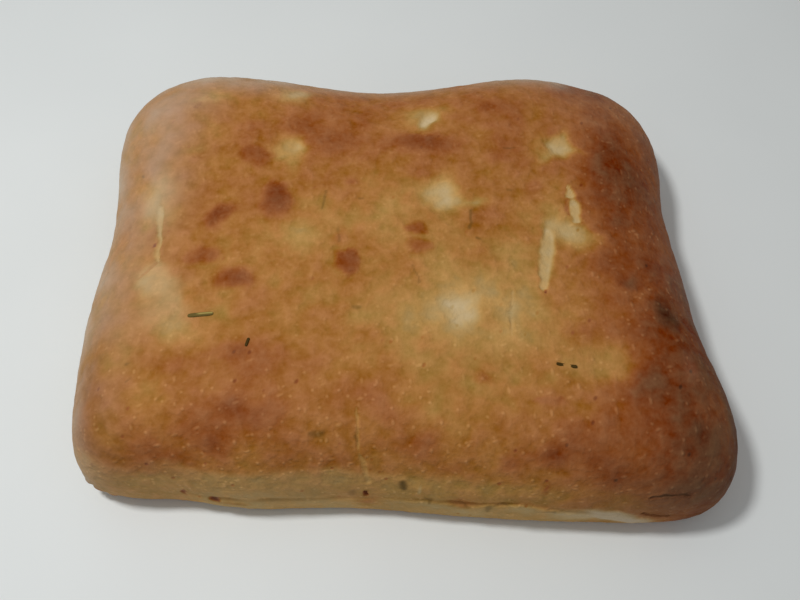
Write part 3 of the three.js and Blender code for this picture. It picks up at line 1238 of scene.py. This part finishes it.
@dataclass(frozen=True)
class PaleBand:
    """The pale band round the sides, below a wavy edge, where the oven's heat didn't reach so well.

    Attributes:
        height: Height of its edge, in millimetres.
        front_height: Height of its edge on the front.
        blur: Millimetres from the edge to where its fade starts or ends.
        front_blur: The same on the front.
        waves: How far the broad lumps move its edge, in millimetres.
        paleness: How far it holds the browning back to gold, at most.
        leftward: Where it grows pale, along X.
        facing: What counts as the front, by the Y of the way out.
        dust_and_sheen: How much grey is mixed in on its front.
        dust_leftward: Where that grey lies, along X.
    """

    height: float = 22
    front_height: float = 26
    blur: float = 4
    front_blur: float = 2.4
    waves: float = 4
    paleness: float = 0.85
    leftward: Fade = Fade(78, 10)
    facing: Fade = Fade(-0.2, -0.7)
    dust_and_sheen: float = 0.08
    dust_leftward: Fade = Fade(10, -30)

    def lay(self, skin: Skin) -> None:
        """Leaves the band pale.

        Args:
            skin: What is dressed.
        """
        x, _, z = skin.points.T
        front = self.facing.at(skin.normals[:, 1])
        edge = self.height + (self.front_height - self.height) * front
        above = z - edge - self.waves * skin.lumps - skin.pucker
        sides = smooth_step(self.blur, -self.blur, above) * (1 - front)
        below = sides + smooth_step(self.front_blur, -self.front_blur, above) * front
        skin.brown(self.paleness * self.leftward.at(x) * below, GOLDEN.value)
        skin.dust_and_sheen += self.dust_and_sheen * below * front * self.dust_leftward.at(x)


@dataclass(frozen=True)
class Crease:
    """The crease low on the side, above the lip of the bottom crust.

    Attributes:
        depth: Millimetres that it is folded in, at most.
        height: Its height at its left end, in millimetres.
        climb: Millimetres by which it is higher from the middle on.
        climbing: Where it climbs, along X.
        hump: Where it is higher still, along X, and by how many millimetres.
        drop: Millimetres that it comes down at the right.
        dropping: Where it comes down, along X.
        wave_size: Width of its waves, in millimetres.
        ripple: Height of its finer ripples.
        ripple_size: Width of the ripples.
        rippling: Where the ripples start, along X.
        middle: Direction of its middle in plan, in degrees.
        half_arc: Degrees from there to each end of its deep stretch.
        arc_power: How sharply that stretch ends, as an exponent.
        left_end: Where its deep stretch starts, along X.
        gap: Where it is nearly closed, along X, and by what share.
        break_size: Width of the breaks in it, in millimetres.
        break_share: How much of it is there, before the breaks.
        break_depth: How far the breaks vary that.
        least: How much of it is there at least.
        faint: Its depth away from the front, as a share.
        faint_size: Width of the faint parts, in millimetres.
        faint_parts: What of the noise counts as one of them.
        beyond: Degrees from the middle at which they start.
        under: How far it spreads below its line, in millimetres.
        over: How far it spreads above its line.
        bake: How much more it browned, partly painted shade in the fold.
        bake_and_shade_spread: Half the height of what darkened.
        herb_and_shade: Its olive tinge, partly painted shade in the fold.
        herb_and_shade_spread: Half the height of the tinge.
    """

    depth: float = 0.65
    height: float = 11.5
    climb: float = 2.5
    climbing: Fade = Fade(-30, 6)
    hump: Hump = Hump(35, 9, 3)
    drop: float = 3
    dropping: Fade = Fade(50, 88)
    wave_size: float = 14
    ripple: float = 1.2
    ripple_size: float = 4
    rippling: Fade = Fade(0, 10)
    middle: float = -92
    half_arc: float = 46
    arc_power: int = 8
    left_end: Fade = Fade(-68, -56)
    gap: Hump = Hump(-7, 8, 0.8)
    break_size: float = 7
    break_share: float = 0.7
    break_depth: float = 1.8
    least: float = 0.1
    faint: float = 0.5
    faint_size: float = 30
    faint_parts: Fade = Fade(-0.2, 0.3)
    beyond: Fade = Fade(30, 60)
    under: float = 0.45
    over: float = 2.0
    bake: float = 0.07
    bake_and_shade_spread: float = 0.5
    herb_and_shade: float = 0.15
    herb_and_shade_spread: float = 0.6

    def line(self, x: np.ndarray) -> np.ndarray:
        """Height of the crease along X, before its waves."""
        climbed = self.height + self.climb * self.climbing.at(x) + self.hump.at(x)
        return climbed - self.drop * self.dropping.at(x)

    def fold(self, skin: Skin, pole: tuple[float, float]) -> tuple[np.ndarray, np.ndarray]:
        """Folds the crease in, and darkens it with browning and an olive tinge that are partly painted shade.

        Args:
            skin: What is dressed.
            pole: Middle of the plan.

        Returns:
            Millimetres above the crease, and how much of the front's arc there is, from 0 to 1.
        """
        x, y, z = skin.points.T
        plan = skin.points * (1, 1, 0)
        ripples = self.ripple * self.rippling.at(x) * crinkle(plan, self.ripple_size, shift=5.0)
        above = z - self.line(x) - crinkle(plan, self.wave_size, 2) - ripples
        turn = np.degrees(np.arctan2(y - pole[1], x - pole[0])) - self.middle
        turn = (turn + 180) % 360 - 180
        arc = np.exp(-((turn / self.half_arc) ** self.arc_power))
        breaks = self.break_share + self.break_depth * crinkle(plan, self.break_size, shift=9.0)
        breaks = np.clip(breaks, self.least, 1)
        front = arc * self.left_end.at(x) * (1 - self.gap.at(x)) * breaks
        parts = self.faint_parts.at(crinkle(plan, self.faint_size, shift=7.0))
        share = np.maximum(front, self.faint * parts * self.beyond.at(np.abs(turn)))
        section = np.where(above < 0, bell(above, self.under), bell(above, self.over))
        skin.rise -= self.depth * share * section
        # Painted shade in the fold, with its browner crust: darker browning and an olive tinge along the
        # crease.
        skin.bake += self.bake * share * bell(above, self.bake_and_shade_spread)
        skin.herb_and_shade = np.maximum(skin.herb_and_shade, self.herb_and_shade * share * bell(above, self.herb_and_shade_spread))
        return above, arc


@dataclass(frozen=True)
class Foot:
    """The browned foot of the sides, where they meet the base.

    Attributes:
        heights: Where its browning starts and is at its most, in millimetres.
        waves: How far the puckers move that, in millimetres.
        facing: What no longer counts as the base, by the Z of the way out.
        strength: How far it browns to russet.
    """

    heights: Fade = Fade(2.2, 0.6)
    waves: float = 1.5
    facing: Fade = Fade(-0.9, -0.5)
    strength: float = 0.5

    def lay(self, skin: Skin) -> None:
        """Browns the foot.

        Args:
            skin: What is dressed.
        """
        low = self.heights.at(skin.points[:, 2] + self.waves * skin.pucker)
        skin.brown(self.strength * (low * self.facing.at(skin.normals[:, 2])), RUSSET.value)


@dataclass(frozen=True)
class Lip:
    """The pale lip of the bottom crust, under the crease of the front.

    Attributes:
        downward: Where it starts and is whole, in millimetres above the crease.
        left_end: Where it starts, along X.
        gap: Where it thins out, along X, and by what share.
        share: How much of it shows, before the broad lumps vary it.
        unevenness: How far they do.
        rise: Millimetres that it stands out, at most.
        ridge: Where it stands out, in millimetres above the crease.
        browning: What it browned to, between straw and gold.
    """

    downward: Fade = Fade(0, -1.5)
    left_end: Fade = Fade(-72, -56)
    gap: Hump = Hump(-2, 10, 0.6)
    share: float = 0.75
    unevenness: float = 1.2
    rise: float = 0.3
    ridge: Hump = Hump(-1.8, 1.4)
    browning: float = GOLDEN.value - 0.08

    def lay(self, skin: Skin, above: np.ndarray, arc: np.ndarray) -> None:
        """Raises the lip and leaves it pale, clear of the grey of dust and painted sheen.

        Args:
            skin: What is dressed.
            above: Millimetres above the crease.
            arc: How much of the front's arc there is.
        """
        x = skin.points[:, 0]
        lip = self.downward.at(above) * arc * self.left_end.at(x)
        lip = lip * (1 - self.gap.at(x)) * (self.share + self.unevenness * skin.lumps)
        skin.rise += self.rise * lip * self.ridge.at(above)
        skin.brown(lip, self.browning)
        skin.dust_and_sheen *= 1 - np.clip(lip, 0, 1)


@dataclass(frozen=True)
class Base:
    """The underside: browned, floured and nearly flat.

    Attributes:
        facing: What counts as the base, by the Z of the way out.
        browning: What it browned to.
        lump_bake: How far the broad lumps vary that.
        lump_depth: How far they press it in, in millimetres.
        relief: Where the relief of the sides ends, by the Z of the way out.
        dust_and_sheen: How much flour dust lies on it, at most.
        dusty: What of the noise has flour on it.
        pucker_share: How far the puckers break up the flour.
    """

    facing: Fade = Fade(-0.7, -0.95)
    browning: Browning = BROWN
    lump_bake: float = 0.4
    lump_depth: float = 0.5
    relief: Fade = Fade(-0.95, -0.3)
    dust_and_sheen: float = 0.35
    dusty: Fade = Fade(-0.1, 0.4)
    pucker_share: float = 0.5

    def lay(self, skin: Skin) -> None:
        """Gives the base its brown, its flour and its flatness.

        Args:
            skin: What is dressed.
        """
        level = skin.normals[:, 2]
        base = self.facing.at(level)
        skin.bake += base * (self.browning.value + self.lump_bake * skin.lumps - skin.bake)
        upper = skin.rise * self.relief.at(level)
        skin.rise = np.where(base > 0.5, -np.abs(self.lump_depth * skin.lumps), upper)
        skin.dust_and_sheen += self.dust_and_sheen * base * self.dusty.at(skin.lumps + self.pucker_share * skin.pucker)
        skin.dust_and_sheen = np.clip(skin.dust_and_sheen, 0, 1)


@dataclass
class Loaf:
    """The loaf: its crust, sides and base, in one closed mesh."""

    form: LoafForm
    finish: CrustFinish
    zones: tuple[Patch, ...] = ZONES
    spots: tuple[Patch, ...] = PALE_SPOTS + BROWN_SPOTS + SIDE_SPOTS
    tears: tuple[Tear, ...] = TEARS
    herb_streaks: tuple[HerbStreak, ...] = HERB_STREAKS
    cells_across: int = 260
    cells_along: int = 217
    side_rows: int = 12  # of cells, from the foot up to the widest line
    base_rings: tuple[float, ...] = (0.985, 0.94, 0.85, 0.65, 0.4, 0.2)  # shares of the way out
    bake: float = 0.45  # of the crust at large, between tan and brown
    lump_size: float = 12
    lump_height: float = 0.35
    pucker_size: float = 3.2
    pucker_height: float = 0.2
    lump_bake: float = 0.16  # how much more the lumps browned
    flecks_all_over: float = 0.4  # share of the flecks that lies everywhere
    flecks_forward: Fade = Fade(-20, -60)  # along Y
    flecks_right: Fade = Fade(40, 75)  # along X
    fine_margin: float = 1.6  # millimetres beside a line that have finer cells
    fine_heights: tuple[float, float] = (0.1, 18)  # between which the front has finer cells
    fine_front: float = -60  # Y in front of which it has them
    dust_and_sheen: PaintedSheenFilm = PaintedSheenFilm()
    band: PaleBand = PaleBand()
    crease: Crease = Crease()
    foot: Foot = Foot()
    lip: Lip = Lip()
    base: Base = Base()

    def pull(
        self, bm: bmesh.types.BMesh, rim: list[bmesh.types.BMEdge], move: Matrix
    ) -> list[bmesh.types.BMEdge]:
        """Extrudes a rim and moves its new edge.

        Args:
            bm: The mesh.
            rim: Edges of the open rim.
            move: What is done to the new edge.

        Returns:
            Edges of the new rim.
        """
        grown = bmesh.ops.extrude_edge_only(bm, edges=rim)["geom"]
        corners = [part for part in grown if isinstance(part, bmesh.types.BMVert)]
        bmesh.ops.transform(bm, matrix=move, verts=corners)
        return [part for part in grown if isinstance(part, bmesh.types.BMEdge) and part.is_boundary]

    def flat_box(self) -> bmesh.types.BMesh:
        """A flat box of small cells, which wrap() bends round the loaf.

        Returns:
            The box, from -1 to 1 in X and Y and from -1 to 0 in Z.
        """
        bm = bmesh.new()
        bmesh.ops.create_grid(bm, x_segments=self.cells_across, y_segments=self.cells_along, size=1)
        rim = [edge for edge in bm.edges if edge.is_boundary]
        for _ in range(self.side_rows):
            rim = self.pull(bm, rim, Matrix.Translation((0, 0, -1 / self.side_rows)))
        for inner, outer in zip(self.base_rings, (1.0, *self.base_rings)):
            rim = self.pull(bm, rim, Matrix.Diagonal((inner / outer, inner / outer, 1, 1)))
        last = {corner for edge in rim for corner in edge.verts}
        bmesh.ops.pointmerge(bm, verts=list(last), merge_co=(0, 0, -1))
        bmesh.ops.recalc_face_normals(bm, faces=bm.faces)
        return bm

    def refine(self, bm: bmesh.types.BMesh) -> None:
        """Halves the cells round tears, streaks and the foot of the front.

        Args:
            bm: The flat box.
        """
        bm.verts.index_update()
        points = self.form.wrap(np.array([corner.co for corner in bm.verts]))
        low, high = self.fine_heights
        fine = (points[:, 2] < high) & (points[:, 2] > low) & (points[:, 1] < self.fine_front)
        for line in [tear.line for tear in self.tears] + [streak.line for streak in self.herb_streaks]:
            fine |= line.ratio(self.form, points, self.fine_margin) < 1
        edges = [edge for edge in bm.edges if all(fine[corner.index] for corner in edge.verts)]
        bmesh.ops.subdivide_edges(bm, edges=edges, cuts=1, use_grid_fill=True)

    def build(self) -> bpy.types.Object:
        """Makes the loaf's mesh, raises its relief and paints its bake.

        Returns:
            The loaf's object, dressed.
        """
        bm = self.flat_box()
        self.refine(bm)
        mesh = to_mesh(bm, "loaf_crust")
        count = len(mesh.vertices)
        cells = np.empty(count * 3)
        mesh.vertices.foreach_get("co", cells)
        points = self.form.wrap(cells.reshape(-1, 3))
        mesh.vertices.foreach_set("co", (points * MM).ravel())
        mesh.update()
        normals = np.empty(count * 3)
        mesh.vertex_normals.foreach_get("vector", normals)
        skin = self.dress(points, normals.reshape(-1, 3))
        points = points + skin.normals * skin.rise[:, None]
        points[:, 2] = np.maximum(points[:, 2], 0)
        mesh.vertices.foreach_set("co", (points * MM).ravel())
        for name in ("bake", "herb_and_shade", "dust_and_sheen", "fleck"):
            mesh.attributes.new(name, "FLOAT", "POINT").data.foreach_set("value", getattr(skin, name))
        mesh.shade_smooth()
        loaf = add_piece("loaf_crust", mesh, self.finish.material())
        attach(loaf, "root")
        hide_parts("loaf")
        return loaf

    def dress(self, points: np.ndarray, normals: np.ndarray) -> Skin:
        """Works out the relief and the looks of the crust.

        Args:
            points: Places on the bare loaf, in millimetres.
            normals: The way out of the loaf at each.

        Returns:
            The relief and the looks at each place.
        """
        x, y, _ = points.T
        thicker = np.maximum(self.flecks_forward.at(y), self.flecks_right.at(x))
        lumps = crinkle(points, self.lump_size, 3)
        pucker = crinkle(points, self.pucker_size, 2, shift=3.0)
        skin = Skin(
            points,
            normals,
            lumps,
            pucker,
            rise=self.lump_height * lumps + self.pucker_height * pucker,
            bake=np.full(len(points), self.bake),
            herb_and_shade=np.zeros(len(points)),
            # Painted sheen on the left, back and right edges starts the grey layer.
            dust_and_sheen=self.dust_and_sheen.cover(points, lumps),
            fleck=self.flecks_all_over + (1 - self.flecks_all_over) * thicker,
        )
        close = wander(points, size=3, amount=1.6, shift=41.0)
        ragged = wander(close, size=9, amount=4, shift=11.0)
        for zone in self.zones:
            weight = zone.weight(self.form, ragged)
            skin.brown(zone.strength * weight, zone.browning.value)
            skin.dust_and_sheen += zone.dust_and_sheen * weight
            skin.herb_and_shade = np.maximum(skin.herb_and_shade, zone.herb_and_shade * weight)
        skin.bake += self.lump_bake * lumps
        self.band.lay(skin)
        above, arc = self.crease.fold(skin, self.form.pole)
        self.foot.lay(skin)
        self.lip.lay(skin, above, arc)
        for spot in self.spots:
            weight = spot.weight(self.form, ragged if spot.face is TOP else close)
            skin.brown(spot.strength * weight, spot.browning.value)
            skin.rise += spot.rise * weight
            skin.dust_and_sheen += spot.dust_and_sheen * weight
            skin.herb_and_shade = np.maximum(skin.herb_and_shade, spot.herb_and_shade * weight)
        self.split(skin)
        self.base.lay(skin)
        return skin

    def split(self, skin: Skin) -> None:
        """Opens the tears and lays the needles that show through the crust.

        Args:
            skin: What is dressed.
        """
        close = wander(skin.points, size=2.5, amount=1.1, shift=67.0)
        for tear in self.tears:
            ratio = tear.line.ratio(self.form, close)
            skin.rise += tear.lip * TEAR_LIP.at(ratio) - tear.depth * TEAR_FLOOR.at(ratio)
            shown = TEAR_COLOUR.at(ratio)
            skin.brown(tear.strength * shown, tear.browning.value)
            skin.fleck *= 1 - shown
        for streak in self.herb_streaks:
            shown = streak.strength * STREAK_COLOUR.at(streak.line.ratio(self.form, close))
            skin.herb_and_shade = np.maximum(skin.herb_and_shade, shown)


@dataclass(frozen=True)
class NeedleFinish:
    """Dried rosemary needle: dark green rolled margins, and a pale grey-green felt between them."""

    margin: str = "3d3410"
    tip: str = "4c330c"
    felt: str = "b7a45c"
    roughness: float = 0.7
    gloss: float = 0.1
    vein_size: float = 0.8
    vein_height: float = 0.1

    def material(self) -> bpy.types.Material:
        """Makes the needles' material, which reads their felt attribute.

        Returns:
            The material.
        """
        material, tree, shader = start_material("dried_rosemary")
        place = add_node(tree, "ShaderNodeTexCoord").outputs["Object"]
        felt = add_node(tree, "ShaderNodeAttribute", attribute_name="felt").outputs["Fac"]
        noise_links = {"Vector": place, "Scale": per_metre(self.vein_size), "Detail": NOISE_DETAIL}
        veins = add_node(tree, "ShaderNodeTexNoise", noise_links)
        green = add_node(
            tree,
            "ShaderNodeMix",
            {
                MIX_AMOUNT: veins.outputs["Fac"],
                MIX_UNDER: linear(self.margin),
                MIX_OVER: linear(self.tip),
            },
            data_type="RGBA",
        )
        colour = add_node(
            tree,
            "ShaderNodeMix",
            {MIX_AMOUNT: felt, MIX_UNDER: green.outputs[MIX_RESULT], MIX_OVER: linear(self.felt)},
            data_type="RGBA",
        )
        relief_links = {"Height": veins.outputs["Fac"], "Distance": self.vein_height * MM}
        bump = add_node(tree, "ShaderNodeBump", relief_links)
        tree.links.new(colour.outputs[MIX_RESULT], shader.inputs["Base Color"])
        tree.links.new(bump.outputs["Normal"], shader.inputs["Normal"])
        shader.inputs["Roughness"].default_value = self.roughness
        shader.inputs["Specular IOR Level"].default_value = self.gloss
        return material


@dataclass(frozen=True)
class Needle:
    """One rosemary needle that lies on the crust.

    Attributes:
        x: Middle in plan, in millimetres.
        y: Middle in plan.
        length: From end to end.
        heading: Degrees in plan.
        width: Across it.
        felt: How much of its pale underside shows, from 0 to 1.
        dip: Millimetres that its middle lies under the crust, with both ends showing.
    """

    x: float
    y: float
    length: float
    heading: float
    width: float
    felt: float = 0.0
    dip: float = 0.0


@dataclass
class Rosemary:
    """The needles that show on the crust, in one mesh."""

    form: LoafForm
    finish: NeedleFinish
    needles: tuple[Needle, ...] = (
        Needle(-59.5, -28.4, 7.7, 5, 1.4, felt=0.9),
        Needle(48, -44.9, 6, -9, 1.2, dip=0.6),
        Needle(-44.7, -37.7, 2.8, 76, 0.9),
    )
    thickness: float = 0.9
    sink: float = 0.15
    groove: float = 0.35  # depth, as a share of the half thickness
    groove_width: float = 0.5  # share of the width
    bluntness: int = 4  # of the ends, where 2 is a ball's
    rings: int = 28
    sides: int = 20
    felt_all_over: float = 0.2  # share of the felt that shows on the whole of a pale needle
    stripe: Hump = Hump(0.3, 0.3)  # the palest line, across a half width
    stripe_start: Fade = Fade(-0.4, 0)  # along a half length
    stripe_end: Fade = Fade(1, 0.9)

    def build(self) -> bpy.types.Object:
        """Makes the needles' mesh and lays each on the crust.

        Returns:
            The needles' object, dressed.
        """
        bm = bmesh.new()
        felt = bm.verts.layers.float.new("felt")
        for needle in self.needles:
            ball = bmesh.ops.create_uvsphere(bm, u_segments=self.sides, v_segments=self.rings, radius=1)
            made = ball["verts"]
            bmesh.ops.rotate(bm, verts=made, matrix=Matrix.Rotation(math.pi / 2, 3, "Y"))
            for corner in made:
                self.lay(corner, needle, felt)
        bmesh.ops.recalc_face_normals(bm, faces=bm.faces)
        mesh = to_mesh(bm, "rosemary_needles")
        mesh.shade_smooth()
        needles = add_piece("rosemary_needles", mesh, self.finish.material())
        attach(needles, "root")
        return needles

    def lay(self, corner: bmesh.types.BMVert, needle: Needle, felt: bmesh.types.BMLayerItem) -> None:
        """Moves a corner of a unit ball to its place on a needle.

        Args:
            corner: The corner. Its X runs along the needle.
            needle: The needle.
            felt: Layer that takes how pale the needle is there.
        """
        along, across, up = corner.co
        blunt = 0.0
        if abs(along) < 1:
            end = (1 - along**self.bluntness) ** (1 / self.bluntness)
            blunt = end / max(math.sqrt(1 - along**2), TINY)
        side = across * blunt * needle.width / 2
        rolled = 1 - self.groove * max(0, 1 - (across / self.groove_width) ** 2) if up > 0 else 1
        top = up * blunt * rolled * self.thickness / 2
        turn = math.radians(needle.heading)
        ahead = along * needle.length / 2
        x = needle.x + ahead * math.cos(turn) - side * math.sin(turn)
        y = needle.y + ahead * math.sin(turn) + side * math.cos(turn)
        middle = 1 - along**2
        z = float(self.form.crust_height(x, y)) + top + self.sink - needle.dip * middle
        corner.co = Vector((x, y, z)) * MM
        upper_half = self.stripe.at(across * blunt) * (1 if up > 0 else 0)
        stripe = upper_half * self.stripe_start.at(along) * self.stripe_end.at(along)
        corner[felt] = needle.felt * (self.felt_all_over + (1 - self.felt_all_over) * stripe)


@dataclass(frozen=True)
class FloorFinish:
    """White laminate: pressed smooth and matt, with a faint unevenness that keeps it from looking flat."""

    colour: str = "e7ebea"
    shade: str = "e1e5e4"
    cloud_size: float = 60.0
    roughness: float = 0.6

    def material(self) -> bpy.types.Material:
        """Makes the floor's material.

        Returns:
            The material.
        """
        material, tree, shader = start_material("white_laminate")
        place = add_node(tree, "ShaderNodeTexCoord").outputs["Object"]
        cloud = add_node(tree, "ShaderNodeTexNoise", {"Vector": place, "Scale": per_metre(self.cloud_size)})
        colour = add_node(
            tree,
            "ShaderNodeMix",
            {
                MIX_AMOUNT: cloud.outputs["Fac"],
                MIX_UNDER: linear(self.colour),
                MIX_OVER: linear(self.shade),
            },
            data_type="RGBA",
        )
        tree.links.new(colour.outputs[MIX_RESULT], shader.inputs["Base Color"])
        shader.inputs["Roughness"].default_value = self.roughness
        return material


@dataclass
class Studio:
    """The floor, the soft light and the camera."""

    finish: FloorFinish
    floor_size: float = 3000
    floor_cells: int = 4
    view_width: float = 50  # degrees across the picture
    pitch: float = 60  # degrees that the camera looks down
    distance: float = 280
    target: tuple[float, float, float] = (-0.1, -12.3, 20)
    key_place: tuple[float, float, float] = (-222, 0, 560)
    key_size: float = 90
    key_power: float = 1.86
    sky_colour: str = "ffffff"
    sky_strength: float = 0.33

    def floor(self) -> bpy.types.Object:
        """Makes the floor under the loaf.

        Returns:
            The floor.
        """
        bm = bmesh.new()
        cells = self.floor_cells
        bmesh.ops.create_grid(bm, x_segments=cells, y_segments=cells, size=self.floor_size / 2 * MM)
        floor = add_piece("floor", to_mesh(bm, "floor"), self.finish.material())
        return floor

    def light(self) -> None:
        """Hangs one soft lamp high on the left, under a pale sky."""
        data = bpy.data.lights.new("soft_lamp", "AREA")
        data.shape = "DISK"
        data.size = self.key_size * MM
        data.energy = self.key_power
        lamp = bpy.data.objects.new("soft_lamp", data)
        lamp.location = Vector(self.key_place) * MM
        lamp.rotation_euler = (-lamp.location).to_track_quat("-Z", "Y").to_euler()
        bpy.context.scene.collection.objects.link(lamp)
        world = bpy.data.worlds.new("pale_sky")
        world.use_nodes = True
        sky = world.node_tree.nodes["Background"]
        sky.inputs["Color"].default_value = linear(self.sky_colour)
        sky.inputs["Strength"].default_value = self.sky_strength
        bpy.context.scene.world = world
        bpy.context.scene.view_settings.view_transform = "Standard"

    def camera(self) -> bpy.types.Object:
        """Sets up the camera at the viewing angle.

        Returns:
            The camera, which is also made the scene's.
        """
        data = bpy.data.cameras.new("camera")
        data.angle = math.radians(self.view_width)
        camera = bpy.data.objects.new("camera", data)
        pitch = math.radians(self.pitch)
        back = Vector((0, -math.cos(pitch), math.sin(pitch)))
        camera.location = (Vector(self.target) + back * self.distance) * MM
        camera.rotation_euler = (math.pi / 2 - pitch, 0, 0)
        bpy.context.scene.collection.objects.link(camera)
        bpy.context.scene.camera = camera
        return camera


def report_piece(piece: bpy.types.Object) -> None:
    """Logs a piece's name and triangles."""
    triangles = sum(len(face.vertices) - 2 for face in piece.data.polygons)
    log.info("%s: %d triangles", piece.name, triangles)


def main() -> None:
    """Builds the loaf, its rosemary and the studio."""
    logging.basicConfig(level=logging.INFO)
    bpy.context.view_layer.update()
    form = LoafForm()
    studio = Studio(FloorFinish())
    studio.camera()
    studio.light()
    report_piece(studio.floor())
    report_piece(Loaf(form, CrustFinish()).build())
    report_piece(Rosemary(form, NeedleFinish()).build())
    bpy.context.view_layer.update()


if __name__ == "__main__":
    main()
